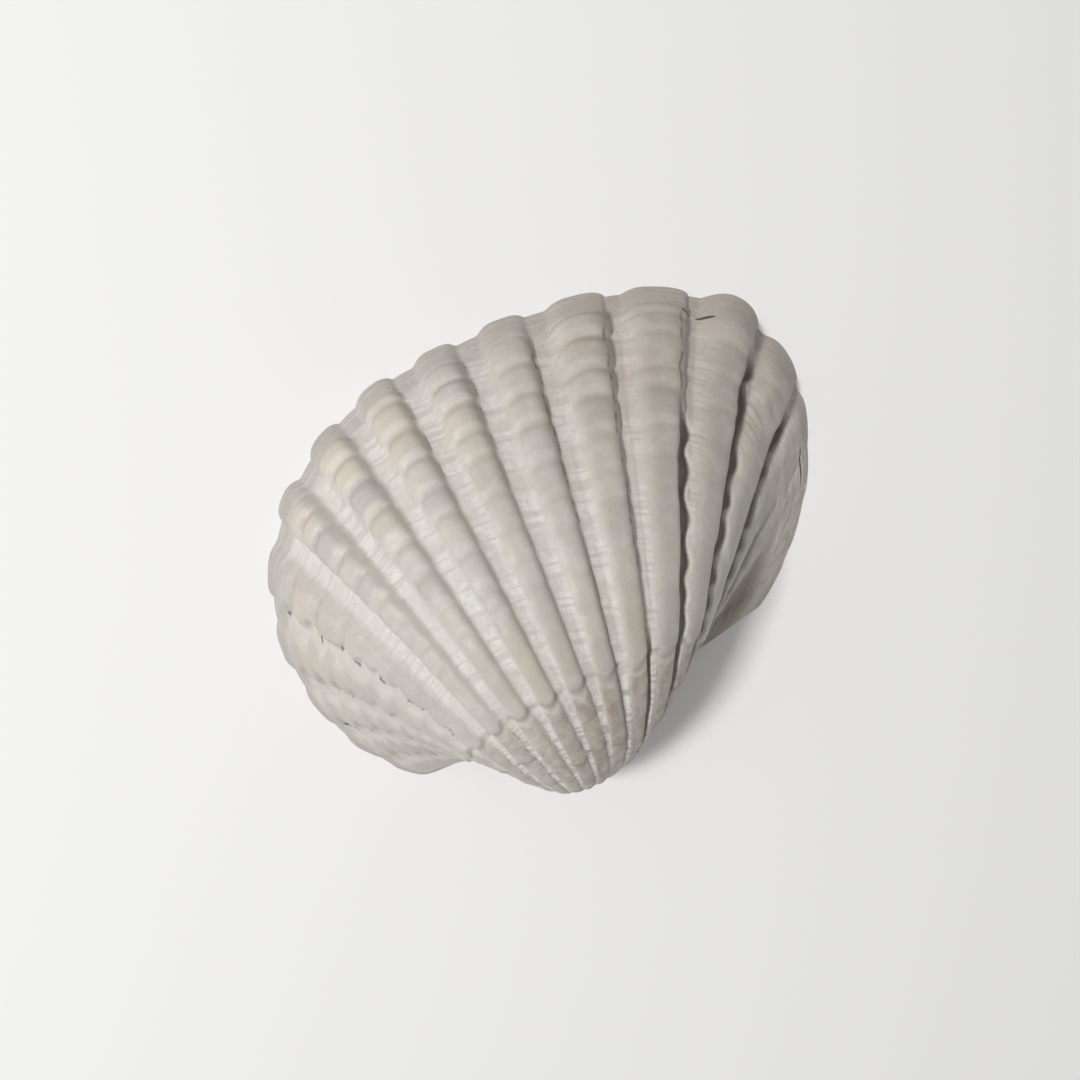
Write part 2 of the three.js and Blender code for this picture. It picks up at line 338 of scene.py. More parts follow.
def between_ribs(rib, growth):
    """1 in the space between ribs, 0 on the ribs; wide and soft on the drawn-out right-hand flanks."""
    number = np.round(rib)
    offset = rib - number
    drawn_out = np.where(offset < 0, smooth(4.5, 7.0, number), 0)
    foot = 0.27 + 0.09 * young(growth) - 0.05 * drawn_out
    return smooth(foot - 0.045 - 0.13 * drawn_out, foot + 0.045 + 0.1 * drawn_out, np.abs(offset))


def deep_gap(rib, growth):
    """1 in the deep gap on the steep side of a right-hand rib; its far edge is scalloped."""
    number = np.floor(rib - GAP_START)
    into_gap = rib - GAP_START - number
    bumps = (1 - growth) / (GAP_SCALLOP * growth ** 0.5) + 0.3 * drift(number * 2.3, growth * 14, 22)
    scallop = np.sin(np.pi * bumps + 2.1 * number) ** 2
    full = smooth(6.2, 6.8, number)
    near = 0.02 + 0.02 * drift(number * 4.1, growth * 22, 20)
    wider = 0.3 * smooth(8.2, 8.8, number) * (1 - smooth(0.6, 0.8, growth))
    wider = wider + 0.25 * np.clip(number - 7, 0, 2)
    far = GAP_WIDTH * (0.65 + 0.35 * full + wider) * (1.15 - 0.45 * smooth(0.6, 0.9, growth))
    uneven = SCALLOP_DEPTH + 0.05 * drift(number * 6.1, growth * 11, 26)
    uneven = uneven * (0.25 + 0.75 * smooth(0.4, 0.58, growth))
    far = far - uneven * scallop * full + 0.03 * drift(number * 3.3, growth * 17, 21)
    gap = smooth(near - 0.02, near + 0.02, into_gap) * (1 - smooth(far - 0.045, far + 0.045, into_gap))
    sixth = 0.12 + 0.7 * (1 - smooth(0.42, 0.5, growth))
    deep = np.maximum(sixth * smooth(4.6, 5.6, number), full)
    deep = deep * (1 - smooth(0.74, 0.84, growth) * (1 - smooth(7.2, 7.8, number)))
    last = smooth(9.2, 9.8, number) * (0.35 + 0.65 * smooth(0.7, 0.86, growth))
    deep = deep * (1 - last) * (1 - smooth(10.2, 10.8, number))
    return gap * deep * (1 - smooth(0.9, 0.95, growth)) * smooth(0.1, 0.2, growth)


def past_ledge(rib, growth, place, tip):
    """How far past a growth stop towards the rim; the stop has round rib tips towards the beak."""
    offset = np.abs(rib - np.round(rib))
    return growth - place - tip * np.minimum(offset / 0.27, 1.15) ** 2


def ledge(rib, growth, place, tip, width):
    """1 on the rim side of a growth stop and 0 behind it."""
    return smooth(-width / 2, width / 2, past_ledge(rib, growth, place, tip))


def with_scales(rib, growth):
    """Rib numbers shifted in round lobes along the left-hand ribs, so that their lower edges look scaly."""
    left = (1 - smooth(-0.8, 0.8, rib)) * smooth(-4.4, -3.4, rib)
    number = np.round(rib)
    wander = 0.4 * drift(number * 3.1, growth * 9, 24) + 0.5 * each_rib(number, 25)
    lobe = np.abs(np.sin(np.pi * ((1 - growth) / SCALE_SPACING + wander))) ** 0.8
    return rib + SCALE_REACH * left * smooth(0.35, 0.5, growth) * lobe


def main_place(rib):
    """Growth value of the main stop, wandering a little from rib to rib."""
    return LEDGE_GROWTH + 0.004 * drift(rib * 0.7, rib * 0, 11)


def stop_tone(rib, growth):
    """Tone at the growth stops: 1 in the painted shadow below the rib tips of the main stop and in the dark
    line below each stop by the beak, -1 on the light line of the main one.
    """
    number = np.round(rib)
    past = past_ledge(rib, growth, main_place(rib), MAIN_TIP)
    dark = 0.7 * smooth(-0.011, -0.005, past) * (1 - smooth(-0.002, 0.003, past))
    light = smooth(-0.024, -0.019, past) * (1 - smooth(-0.014, -0.009, past))
    for place, _, seed in BEAK_STOPS:
        past = past_ledge(rib, growth, place + BEAK_STOP_WANDER * each_rib(number, seed), BEAK_TIP)
        dark = np.maximum(dark, smooth(-0.008, -0.002, past) * (1 - smooth(0.001, 0.006, past)))
    return dark - light


def rib_height(rib, growth):
    """Beaded ribs about their mean: lower by the beak, mid-dome, on the right and at the lip; one knob."""
    lip = smooth(LIP_GROWTH - LIP_FADE, 1, growth)
    bead = bead_height(rib, growth)
    right = smooth(5, 7, rib) * (1 - smooth(0.8, 0.95, growth))
    mid_dome = (1 - smooth(0.68, 0.86, growth)) * (1 - smooth(4.6, 6.0, rib))
    tall = RIB_HEIGHT + (RIGHT_RIB_HEIGHT - RIB_HEIGHT) * right
    tall = tall * (1 + 0.08 * each_rib(np.round(rib), 8)) * (1 - 0.35 * lip)
    tall = tall * (1 - BEAK_DROP * young(growth)) * (1 - MIDDLE_DROP * mid_dome)
    knob = np.exp(-((rib - KNOB_RIB) / 0.4) ** 2) * smooth(0.9, 0.97, growth)
    height = rib_section(rib, growth, bead) * (tall + BEAD_HEIGHT * bead + KNOB_HEIGHT * knob)
    return (height - RIB_MEAN * RIB_HEIGHT * (1 - 0.2 * lip)) * rib_strength(rib, growth)


def stop_height(rib, growth):
    """Growth stops: the main ledge, which fades towards the rim, and the drops behind the other stops."""
    main = ledge(rib, growth, main_place(rib), MAIN_TIP, MAIN_WIDTH)
    height = LEDGE_RISE * main * (1 - smooth(LEDGE_GROWTH, 0.66, growth)) - LEDGE_DROP * (1 - main)
    for place, drop, seed in BEAK_STOPS:
        wander = place + BEAK_STOP_WANDER * each_rib(np.round(rib), seed)
        height -= drop * (1 - ledge(rib, growth, wander, BEAK_TIP, BEAK_WIDTH))
    for place, drop in FAINT_STOPS:
        wander = place + 0.012 * drift(rib * 0.6, rib * 0 + place * 40, 15)
        height -= drop * (1 - ledge(rib, growth, wander, FAINT_TIP, FAINT_WIDTH))
    return height


def lump_height(rib, growth):
    """Fine lumps all over, stronger ones by the beak and on the left, and the hollow of the right end."""
    height = 0.07 * drift(rib * 2.1, growth * 30, 16) + 0.035 * drift(rib * 5.2, growth * 75, 17)
    height += 0.22 * young(growth) * drift(rib * 3.1, growth * 55, 27)
    height += 0.16 * (1 - smooth(-1.5, 0.5, rib)) * drift(rib * 1.7 + 0.5, growth * 18, 18)
    ear = np.exp(-((rib - EAR_RIB) / 0.55) ** 2)
    ear = ear * smooth(0.5, 0.68, growth) * (1 - smooth(0.82, 0.9, growth))
    return height - EAR_HOLLOW * ear


def relief(rib, growth, along):
    """Height over the smooth shell at the scale of the rim, fading at the hinge; and the deep gaps."""
    ends = smooth(0, RIB_FADE, along) * smooth(0, RIB_FADE, 1 - along)
    gap = deep_gap(rib, growth)
    height = rib_height(rib, growth) + stop_height(rib, growth) + lump_height(rib, growth)
    return (height - GAP_DEPTH * gap) * ends, gap


def corner_shift(points, rim):
    """Draws both hinge corners in along their middle line, fading with distance, so that they are round."""
    shift = np.zeros_like(points)
    for corner, pull, side, share in ((rim[0], LEFT_PULL, 1, 1), (rim[-1], RIGHT_PULL, -1, 0.3)):
        inwards = np.append(pull / np.linalg.norm(pull), 0) + np.array([side, 0, 0])
        inwards /= np.linalg.norm(inwards)
        away = np.linalg.norm(points - corner, axis=-1, keepdims=True)
        shift += share * CORNER_ROUND * np.exp(-away / CORNER_REACH) * inwards
    return shift


def outside_rings(along, growth):
    """Ribbed dome, then the flat area by the hinge: points, and the marks that the finish reads."""
    g, a = growth[:, None] * np.ones(len(along)), along + np.zeros((len(growth), 1))
    rib = with_scales(rib_number(a), g)
    height, gap = relief(rib, g, a)
    rim, normal = rim_points(along), outward(along)
    level = normal * np.array([1, 1, 0])
    level /= np.linalg.norm(level, axis=-1, keepdims=True)
    sideways = smooth(SIDEWAYS_GROWTH, 1, g)[..., None]
    lift = height[..., None] * (normal * (1 - sideways) + level * sideways)
    hinge = hinge_points(rim)
    hinge = hinge + corner_shift(hinge, rim)
    dome = grown(rim + corner_shift(rim, rim) + lift, g, BEAK, COIL, COIL_AXIS)
    h = growth[:, None] * np.ones(HINGE_COLUMNS)
    area = grown(hinge + np.zeros((len(growth), 1, 3)), h, BEAK, COIL, COIL_AXIS)
    points = np.concatenate([dome, area], 1)
    points[0, :, 2] = 0
    marks = np.zeros(points.shape[:2] + (len(MARKS),))
    marks[..., 0] = growth[:, None]
    tones = (tile_tone(rib, g, 30), tile_tone(rib, g, 31), tile_joint(rib, g), stop_tone(rib, g))
    marks[:, :len(along), 1:] = np.stack((between_ribs(rib, g), gap) + tones, -1)
    ribs = np.concatenate([rib, np.full(h.shape, rib_number(1.0))], 1)
    return points, marks, ribs


def margin_groove(along):
    """Grooves of the inner margin, 0 to 1: one under each rib, none towards the hinge corners."""
    ends = smooth(0, 3 * RIB_FADE, along) * smooth(0, 3 * RIB_FADE, 1 - along)
    return ends * (0.5 + 0.5 * np.cos(2 * np.pi * rib_number(along)))


def hollow_rings(along):
    """Smooth hollow: the rim drawn in and carried along its own growth spiral."""
    edge = rim_points(along)
    edge[:, 0] = HOLLOW_MIDDLE_X + (edge[:, 0] - HOLLOW_MIDDLE_X) * HOLLOW_WIDTH_SHARE
    edge[:, 1] = HINGE_PLATE + edge[:, 1] * HOLLOW_DEPTH_SHARE
    start = np.concatenate([edge, hinge_points(edge)])
    growth = 1 - (1 - HOLLOW_GROWTH) * np.linspace(0, 1, HOLLOW_ROWS) ** 1.15
    g = growth[:, None] * np.ones(len(start))
    hollow = grown(start + np.zeros((HOLLOW_ROWS, 1, 3)), g, HOLLOW_BEAK, HOLLOW_COIL, HOLLOW_AXIS)
    hollow[:, :len(along), 2] += MARGIN_GROOVE * margin_groove(along) * smooth(0.9, 1, g[:, :len(along)])
    return hollow, g


def rim_rings(outer, inner):
    """Flat rim between the two edges, grooved towards the hollow, with small teeth on the hinge plate."""
    share = np.arange(1, RIM_ROWS + 1) / (RIM_ROWS + 1)
    rings = outer + (inner - outer) * share[:, None, None]
    window = np.sin(np.pi * smooth(0.25, 1.0, share))[:, None]
    tooth = (np.arange(HINGE_COLUMNS) % 2) * np.ones((RIM_ROWS, 1))
    rings[:, DOME_COLUMNS:, 2] = TOOTH_HEIGHT * tooth * window
    rings[:, :DOME_COLUMNS, 2] = inner[:DOME_COLUMNS, 2] * smooth(0.25, 1.0, share)[:, None]
    return rings


def closed_skin(rings):
    """Faces of a tube of rings that closes on itself, with a fan of triangles at each end."""
    rows, around = rings.shape[:2]
    row, column = np.meshgrid(np.arange(rows - 1), np.arange(around), indexing="ij")
    following = (column + 1) % around
    near, far = row * around, (row + 1) * around
    quads = np.stack([near + column, near + following, far + following, far + column], -1).reshape(-1, 4)
    middles = np.stack([rings[0].mean(0), rings[-1].mean(0)])
    points = np.concatenate([rings.reshape(-1, 3), middles])
    first, last = rows * around, rows * around + 1
    spin = np.arange(around)
    after = (spin + 1) % around
    base = (rows - 1) * around
    fans = np.concatenate([
        np.stack([np.full(around, first), after, spin], -1),
        np.stack([np.full(around, last), base + spin, base + after], -1),
    ])
    return points, quads, fans


def build_valve():
    """The whole valve as one closed mesh: outside from the beak, across the rim, into the hollow."""
    along, growth = dome_columns(), growth_rows()
    outside, marks, ribs = outside_rings(along, growth)
    hollow, hollow_growth = hollow_rings(along)
    rim = rim_rings(outside[0], hollow[0])
    rings = np.concatenate([outside[::-1], rim, hollow])
    points, quads, fans = closed_skin(rings)

    below = np.zeros((RIM_ROWS + HOLLOW_ROWS, rings.shape[1], len(MARKS)))
    below[RIM_ROWS:, :, 0] = hollow_growth
    below[:RIM_ROWS, :, 0] = 1
    every_mark = np.concatenate([marks[::-1], below]).reshape(-1, len(MARKS))
    every_mark = np.concatenate([every_mark, np.zeros((2, len(MARKS)))])
    inside = np.zeros(rings.shape[:2])
    inside[OUTSIDE_ROWS + 1:] = 1
    inside = np.concatenate([inside.ravel(), [0, 1]])
    rib_of = np.concatenate([ribs[::-1], np.repeat(ribs[:1], RIM_ROWS + HOLLOW_ROWS, 0)]).ravel()
    rib_of = np.concatenate([rib_of, [0, 0]])
    run = every_mark[:, 0] * GROWTH_LENGTH

    mesh = bpy.data.meshes.new("shell_valve")
    corners = np.concatenate([quads.ravel(), fans.ravel()])
    starts = np.concatenate([np.arange(len(quads)) * 4, len(quads) * 4 + np.arange(len(fans)) * 3])
    mesh.vertices.add(len(points))
    mesh.loops.add(len(corners))
    mesh.polygons.add(len(starts))
    mesh.vertices.foreach_set("co", ((points - UNDER_MIDDLE) * MM).astype(np.float32).ravel())
    mesh.loops.foreach_set("vertex_index", corners.astype(np.int32))
    mesh.polygons.foreach_set("loop_start", starts.astype(np.int32))
    mesh.update(calc_edges=True)
    mesh.validate()
    for name, values in (*zip(MARKS, every_mark.T), ("inside", inside)):
        layer = mesh.attributes.new(name, "FLOAT", "POINT")
        layer.data.foreach_set("value", values.astype(np.float32))
    unwrap = mesh.uv_layers.new(name="growth_map")
    unwrap.data.foreach_set("uv", np.stack([rib_of, run], -1)[corners].astype(np.float32).ravel())
    mesh.polygons.foreach_set("use_smooth", np.ones(len(starts), bool))
    mesh.set_sharp_from_angle(angle=CREASE)
    valve = bpy.data.objects.new("shell_valve", mesh)
    bpy.context.collection.objects.link(valve)
    return valve


class Field:
    """A number that varies over a surface: wraps a socket, and arithmetic adds Math nodes."""

    def __init__(self, finish, socket):
        self.finish = finish
        self.socket = socket

    def math(self, operation, *values):
        node = self.finish.node("ShaderNodeMath", {"operation": operation}, dict(enumerate(values)))
        return Field(self.finish, node.outputs[0])

    def __add__(self, other):
        return self.math("ADD", self, other)

    def __sub__(self, other):
        return self.math("SUBTRACT", self, other)

    def __rsub__(self, other):
        return self.math("SUBTRACT", other, self)

    def __mul__(self, other):
        return self.math("MULTIPLY", self, other)

    __radd__ = __add__
    __rmul__ = __mul__

    def floor(self):
        return self.math("FLOOR", self)

    def size(self):
        return self.math("ABSOLUTE", self)

    def larger(self, other):
        return self.math("MAXIMUM", self, other)

    def step(self, low, high):
        """Smooth step: 0 below low, 1 above high."""
        settings = {"interpolation_type": "SMOOTHSTEP"}
        node = self.finish.node("ShaderNodeMapRange", settings, {0: self, 1: low, 2: high})
        return Field(self.finish, node.outputs[0])


class Finish:
    """A material in the making: adds nodes to its tree and gives the fields they put out."""

    def __init__(self, name):
        self.material = bpy.data.materials.new(name)
        self.material.use_nodes = True
        self.tree = self.material.node_tree
        self.shader = self.tree.nodes["Principled BSDF"]

    def node(self, kind, settings=None, inputs=None):
        """Any node: its type, its settings, then the values or links of its sockets."""
        node = self.tree.nodes.new(kind)
        for name, value in (settings or {}).items():
            setattr(node, name, value)
        for name, value in (inputs or {}).items():
            self.feed(node.inputs[name], value)
        return node

    def feed(self, socket, value):
        """Links a field or a socket, or sets a plain value."""
        if isinstance(value, Field):
            value = value.socket
        if isinstance(value, bpy.types.NodeSocket):
            self.tree.links.new(value, socket)
        else:
            socket.default_value = value

    def mark(self, name):
        """A value that is kept on the mesh."""
        node = self.node("ShaderNodeAttribute", {"attribute_name": name})
        return Field(self, node.outputs["Fac"])

    def noise(self, vector, scale, detail=2.0, roughness=0.5):
        inputs = {"Vector": vector, "Scale": scale, "Detail": detail, "Roughness": roughness}
        return Field(self, self.node("ShaderNodeTexNoise", None, inputs).outputs[0])

    def streaks(self, across, along, layer, detail=3.0):
        """Noise drawn out in one direction: stretched by the factors already put on its two fields."""
        vector = self.node("ShaderNodeCombineXYZ", None, {0: across, 1: along, 2: layer}).outputs[0]
        return self.noise(vector, 1.0, detail, 0.6)

    def mix(self, share, first, second):
        """Colour that goes from the first to the second by a share."""
        node = self.node("ShaderNodeMix", {"data_type": "RGBA"}, {0: share, 6: first, 7: second})
        return node.outputs[2]

    def bump(self, height, distance, normal=None):
        """Fine height drawn in the shading, over an earlier bump where there is one."""
        inputs = {"Height": height, "Distance": distance, "Strength": 1.0}
        if normal is not None:
            inputs["Normal"] = normal
        return self.node("ShaderNodeBump", None, inputs).outputs[0]


class ShellMap:
    """What the parts of the shell finish share: places on the growth map, marks and noises."""

    def __init__(self, f):
        place = f.node("ShaderNodeTexCoord").outputs["Object"]
        unwrap = f.node("ShaderNodeUVMap", {"uv_map": "growth_map"}).outputs[0]
        apart = f.node("ShaderNodeSeparateXYZ", None, {0: unwrap})
        self.rib, self.run = Field(f, apart.outputs[0]), Field(f, apart.outputs[1])
        self.number = (self.rib + 0.5).floor()
        self.offset = self.rib - self.number
        self.space = self.rib.floor()
        self.across = self.rib - self.space - 0.5
        marks = [f.mark(name) for name in MARKS]
        self.growth, self.between, self.gap, self.tile, self.cream, self.joint, self.stop = marks
        self.inside = f.mark("inside")
        self.outside = 1 - self.inside
        self.on_rib = 1 - self.between
        self.lip = self.growth.step(0.945, 0.975)
        self.old = 1 - self.growth.step(0.40, 0.46)
        self.broad = f.noise(place, 160.0, 3.0)
        self.cloud = f.noise(place, 420.0, 4.0, 0.6)
        self.stain = f.noise(place, 700.0, 3.0, 0.6)
        self.mottle = f.noise(place, 1300.0, 4.0, 0.7)
        self.grain = f.noise(place, 2600.0, 3.0, 0.6)
        self.dust = f.noise(place, 6000.0, 2.0, 0.6)
        self.lines = f.streaks(self.rib * 0.9, self.run * 4.2, 3.0)
        self.wobble = f.streaks(self.number * 3.7, self.run * 0.55, 1.0, 1.0)
        self.broken = f.streaks(self.number * 9.1, self.run * 0.8, 5.0, 1.0)
        climb = (0.8 + 0.9 * self.rib.step(0.0, 5.0)) * self.growth
        climbing = (self.run + self.across * climb) * (1.6 + 0.3 * self.old)
        self.ladder = f.streaks(self.space * 7.3 + self.across * 0.7, climbing, 0.0, 1.0)
        patchy = self.old.larger(f.streaks(self.rib * 1.1, self.run * 0.3, 7.0).step(0.36, 0.56))
        worn = 0.4 + 0.6 * self.old.larger(self.mottle.step(0.35, 0.55))
        middle = 1 - (self.across.size() * (1 + 0.4 * self.old)).step(0.13, 0.25)
        self.middle = self.between * middle * patchy * worn * self.rib.step(-0.8, 1.2)


def oval(s, place, reach, slope, width):
    """1 inside an ellipse on the growth map, whose middle line climbs by slope over its reach."""
    share = (s.rib - place[0]) * (1 / reach)
    away = (s.run - place[1] - slope * share) * (1 / width)
    return 1 - (share * share + away * away).step(0.6, 1.2)


# In the colour functions, f is the finish in the making and s its map of the shell
def rib_colour(f, s):
    """Ribs: grey and pale bead tiles, cream near the rim, olive tips, painted shade and highlight along
    each tile, the stained old part.
    """
    colour = f.mix(s.tile.step(-1.0, 1.0), (0.495, 0.48, 0.45, 1), (0.585, 0.56, 0.52, 1))
    colour = f.mix(s.cloud.step(0.35, 0.68) * 0.5, colour, (0.52, 0.48, 0.435, 1))
    colour = f.mix((1 - s.cloud).step(0.5, 0.72) * 0.4, colour, (0.66, 0.63, 0.59, 1))
    near_rim = s.growth.step(0.72, 0.9) * (1 - s.rib.step(5.0, 8.5)) * s.rib.step(-3.0, -1.0)
    yellow = s.cream.step(-0.2, 0.6) * (0.2 + 0.8 * near_rim) * s.broad.step(0.3, 0.6)
    colour = f.mix(yellow * 0.75, colour, (0.65, 0.595, 0.485, 1))
    tips = s.growth.step(0.44, 0.47) * (1 - s.growth.step(0.48, 0.62))
    tips = tips * s.rib.step(1.2, 2.5) * (1 - s.rib.step(6.0, 6.8)) * s.broad.step(0.3, 0.55)
    colour = f.mix(tips * 0.55, colour, (0.49, 0.45, 0.365, 1))
    # Painted shade on the rim side of each bead tile, and a painted highlight on its far end
    colour = f.mix(s.joint.step(0.0, 1.0) * s.on_rib * 0.36, colour, (0.36, 0.33, 0.285, 1))
    colour = f.mix((0 - s.joint).step(0.0, 1.0) * s.on_rib * 0.4, colour, (0.76, 0.735, 0.69, 1))
    stained = (0.3 + 0.65 * s.stain.step(0.4, 0.62)) * (0.6 + 0.4 * s.rib.step(1.0, 5.0))
    return f.mix(s.old * s.on_rib * stained, colour, (0.37, 0.325, 0.285, 1))


def space_colour(f, s, colour):
    """Between the ribs: pale, whiter on the left, with a ladder of white and dark bars."""
    colour = f.mix(s.between * 0.8, colour, (0.605, 0.575, 0.54, 1))
    colour = f.mix(s.between * (1 - s.rib.step(1.0, 5.0)) * 0.7, colour, (0.68, 0.655, 0.615, 1))
    white = (0.3 + 0.7 * s.ladder.step(0.44, 0.56)) * (1 - 0.6 * s.rib.step(5.5, 7.5))
    colour = f.mix(s.middle * white * (0.6 + 0.2 * s.old), colour, (0.79, 0.775, 0.745, 1))
    dark = (1 - s.ladder).step(0.52, 0.6) * (0.34 + 0.26 * s.old)
    return f.mix(s.middle * dark, colour, (0.42, 0.38, 0.34, 1))


def lip_shade_and_wear_colour(f, s, colour):
    """Grey lip of painted shade, with light lines; mottle, grain and dust; darker by the beak, on the left
    and at the top right.
    """
    # Painted shade: the lip band darker grey where it turns away from the light
    colour = f.mix(s.lip * 0.7, colour, (0.415, 0.39, 0.36, 1))
    colour = f.mix(s.lip * s.lines.step(0.5, 0.66) * 0.5, colour, (0.66, 0.64, 0.61, 1))
    colour = f.mix(s.mottle.step(0.5, 0.72) * 0.2, colour, (0.72, 0.69, 0.65, 1))
    colour = f.mix((1 - s.mottle).step(0.5, 0.72) * (0.2 + 0.3 * s.old), colour, (0.42, 0.385, 0.35, 1))
    colour = f.mix(s.grain.step(0.62, 0.78) * 0.2, colour, (0.40, 0.37, 0.34, 1))
    colour = f.mix(s.dust.step(0.5, 0.75) * 0.14, colour, (0.74, 0.72, 0.69, 1))
    colour = f.mix((1 - s.dust).step(0.5, 0.75) * 0.14, colour, (0.36, 0.335, 0.31, 1))
    colour = f.mix(s.old * s.grain.step(0.52, 0.68) * 0.4, colour, (0.30, 0.26, 0.22, 1))
    colour = f.mix((1 - s.rib.step(-1.5, 0.5)) * 0.34, colour, (0.50, 0.47, 0.435, 1))
    top_right = s.growth.step(0.6, 0.9) * s.rib.step(3.5, 7.0) * (1 - s.rib.step(9.0, 10.0))
    return f.mix(top_right * (0.24 + 0.34 * s.cloud.step(0.3, 0.7)), colour, (0.42, 0.382, 0.34, 1))


def right_end_colour(f, s, colour):
    """Right-hand end: brown rays, pale flecks and painted shade in the hollow by the right end; a warm tint
    that grows to the right.
    """
    rays = f.streaks(s.rib * 3.0, s.run * 0.15, 17.0).step(0.48, 0.64) * s.rib.step(9.6, 10.2)
    colour = f.mix(rays * (1 - s.lip) * 0.42, colour, (0.36, 0.325, 0.285, 1))
    flecks = f.streaks(s.rib * 4.0, s.run * 0.35, 23.0).step(0.56, 0.66) * s.rib.step(9.7, 10.2)
    colour = f.mix(flecks * s.growth.step(0.55, 0.75) * s.outside * 0.55, colour, (0.72, 0.69, 0.65, 1))
    # Painted shade in the hollow of the right-hand end
    ear = s.rib.step(11.0, 12.0) * s.growth.step(0.3, 0.5) * (1 - s.growth.step(0.79, 0.9))
    colour = f.mix(ear * (0.6 + 0.4 * s.cloud), colour, (0.25, 0.22, 0.193, 1))
    return f.mix(0.025 + 0.035 * s.rib.step(2.0, 8.0), colour, (0.78, 0.55, 0.36, 1))


def edge_colour(f, s, colour):
    """Painted shade and a broken painted dark line of shade at the foot of the ribs; painted shadow below
    the main growth stop, dark lines below the stops by the beak, and a light line at the main one.
    """
    seventh = s.growth.step(0.74, 0.8) * (1 - s.rib.step(7.5, 7.6))
    flank = s.rib.step(-1.5, 0.5) * (1 - s.rib.step(6.55, 6.75) * (1 - seventh)) * (1 - s.lip)
    beside = (s.offset - 0.305 - 0.06 * s.old + 0.1 * (s.wobble - 0.5)).size()
    # Painted shade on the steep flank at the foot of each rib
    colour = f.mix(flank * (1 - beside.step(0.02, 0.13)) * 0.4, colour, (0.43, 0.385, 0.34, 1))
    # Painted shade: a thin broken dark line in the crevice at the foot of the ribs
    thin = (1 - beside.step(0.008, 0.035)) * (0.25 + 0.75 * s.broken.step(0.4, 0.6))
    thin = thin * s.rib.step(4.4, 5.6).larger(s.old * 0.9)
    colour = f.mix(flank * thin * 0.75, colour, (0.21, 0.175, 0.145, 1))
    stop_breakup = (0.1 + 0.9 * s.broken.step(0.45, 0.6)) * s.rib.step(-3.0, 0.0) * (1 - s.rib.step(8.5, 9.5))
    # Painted shadow below the rib tips of the main stop; dark lines below the stops by the beak
    colour = f.mix(s.stop.step(0.0, 1.0) * stop_breakup * 0.42, colour, (0.22, 0.185, 0.15, 1))
    light = (0 - s.stop).step(0.0, 1.0) * (0.2 + 0.8 * stop_breakup)
    return f.mix(light * 0.42, colour, (0.74, 0.70, 0.63, 1))


def gap_colour(f, s, colour):
    """By the deep gaps: scratches on the ninth rib, dashes on the eighth, painted shade in the gaps."""
    scratched = f.streaks(s.rib * 0.5, (s.run + s.across * 3.5) * 1.5, 21.0, 1.0).step(0.54, 0.64)
    ninth = s.rib.step(8.45, 8.6) * (1 - s.rib.step(8.85, 9.15))
    ninth = ninth * s.growth.step(0.72, 0.78) * (1 - s.growth.step(0.88, 0.92))
    colour = f.mix(scratched * ninth * 0.4, colour, (0.30, 0.265, 0.23, 1))
    dashed = f.streaks(s.rib * 0.8, (s.run + s.across * 1.5) * 2.4, 25.0, 1.0)
    eighth = s.rib.step(7.3, 7.5) * (1 - s.rib.step(7.72, 7.9))
    eighth = eighth * s.growth.step(0.68, 0.76) * (1 - s.growth.step(0.91, 0.94))
    dark = dashed.step(0.5, 0.62) * s.mottle.step(0.4, 0.55)
    colour = f.mix(eighth * dark * 0.3, colour, (0.34, 0.295, 0.255, 1))
    colour = f.mix(eighth * (1 - dashed).step(0.54, 0.64) * 0.18, colour, (0.70, 0.665, 0.625, 1))
    # Painted shade: dark brown in the deep gaps
    return f.mix(s.gap.step(0.15, 0.7) * s.outside * 0.8, colour, (0.20, 0.17, 0.143, 1))


def scale_and_slit_shade_colour(f, s, colour):
    """Painted shade in dashes and pits under the left-hand ribs, a crack drawn as painted shade with a pale
    edge on the right, slits of painted shade in the lip.
    """
    left = (1 - s.rib.step(-0.1, 0.6)) * s.rib.step(-3.9, -3.2) * (1 - s.lip) * s.growth.step(0.4, 0.55)
    below = (s.offset + 0.34 + 0.2 * (s.wobble - 0.5)).size()
    pitted = f.streaks(s.number * 5.3, s.run * 1.4, 9.0, 0.0).step(0.69, 0.73)
    dashes = f.streaks(s.number * 9.1, s.run * 0.45, 6.0, 1.0).step(0.57, 0.63)
    dash = (1 - below.step(0.02, 0.06)) * dashes * 0.7
    pit = (1 - below.step(0.06, 0.12)) * pitted
    # Painted shade in the grooves and pits at the lower edges of the left-hand ribs
    colour = f.mix(left * dash.larger(pit) * s.outside, colour, (0.12, 0.105, 0.09, 1))
    colour = f.mix(oval(s, *CRACK_EDGE) * s.outside * 0.6, colour, (0.8, 0.78, 0.74, 1))
    torn = oval(s, *CRACK)
    for slit in LIP_SLITS:
        torn = torn.larger(oval(s, *slit))
    # Painted shade of the open crack and of the slits in the lip
    return f.mix(torn * s.outside * 0.9, colour, (0.07, 0.06, 0.05, 1))


def hollow_colour(f, s, colour):
    """Inside: cream white with paler clouds, a line along the margin and two muscle scars."""
    colour = f.mix(s.inside * 0.92, colour, (0.74, 0.71, 0.66, 1))
    colour = f.mix(s.inside * s.broad.step(0.45, 0.7) * 0.35, colour, (0.80, 0.78, 0.74, 1))
    drawn = 1 - (s.growth - 0.86 + 0.03 * (s.broad - 0.5)).size().step(0.004, 0.016)
    for scar in MUSCLE_SCARS:
        drawn = drawn.larger(oval(s, *scar))
    return f.mix(s.inside * drawn * 0.4, colour, (0.60, 0.565, 0.51, 1))


